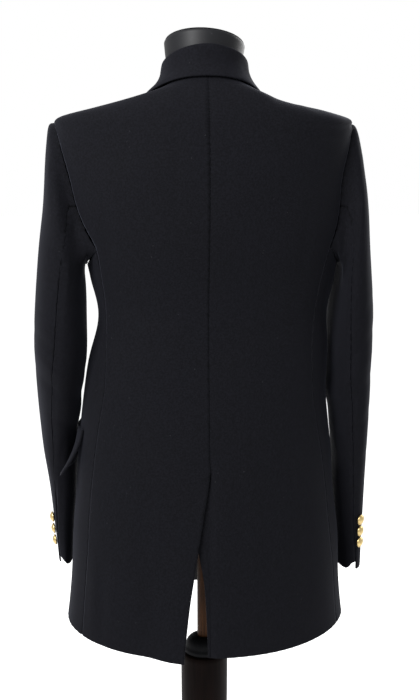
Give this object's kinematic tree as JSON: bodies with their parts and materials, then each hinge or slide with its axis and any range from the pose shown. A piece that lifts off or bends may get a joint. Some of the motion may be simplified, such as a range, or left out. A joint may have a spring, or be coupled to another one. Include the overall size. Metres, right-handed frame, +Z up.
{
  "type": "blazer on a limbless dress form with a stand",
  "caption": "Long fitted blazer with padded shoulders, notched lapels, an open back vent and domed metal buttons, worn by a limbless dress form on a pole stand.",
  "frame": {"origin": "on the floor, at the middle of the flat underside of the stand's round base, on the pole's axis", "axes": "+Z up along the pole, +Y towards the back of the garment, +X towards the wearer's left"},
  "size_m": [0.4798, 0.38, 1.4783],
  "materials": {
    "suiting": "fine matte black suiting with a blue cast",
    "gold_metal": "polished gold-coloured metal",
    "form_covering": "matte black stretched covering",
    "black_gloss": "glossy black",
    "brown_wood": "satin brown",
    "dark_wood": "satin dark brown, nearly black"
  },
  "bodies": {
    "stand": {"stand_base": "dark_wood", "stand_column": "dark_wood", "stand_cap": "black_gloss"},
    "form": {"stand_pole": "brown_wood", "form_torso": "form_covering", "form_neck_cap": "black_gloss", "back_left": "suiting", "back_right": "suiting", "side_left": "suiting", "side_right": "suiting", "front_left": "suiting", "front_right": "suiting", "lapel_left": "suiting", "lapel_right": "suiting", "collar": "suiting", "flap_left": "suiting", "flap_right": "suiting", "sleeve_left_upper": "suiting", "sleeve_left_under": "suiting", "sleeve_right_upper": "suiting", "sleeve_right_under": "suiting", "cuff_button_left_1": "gold_metal", "cuff_button_left_2": "gold_metal", "cuff_button_left_3": "gold_metal", "cuff_button_right_1": "gold_metal", "cuff_button_right_2": "gold_metal", "cuff_button_right_3": "gold_metal", "front_button_1": "gold_metal", "front_button_2": "gold_metal"}
  },
  "joints": [
    {"name": "height_slide", "type": "slide", "parent": "stand", "child": "form", "axis": [0, 0, 1], "range_m": [-0.1, 0.18]}
  ]
}
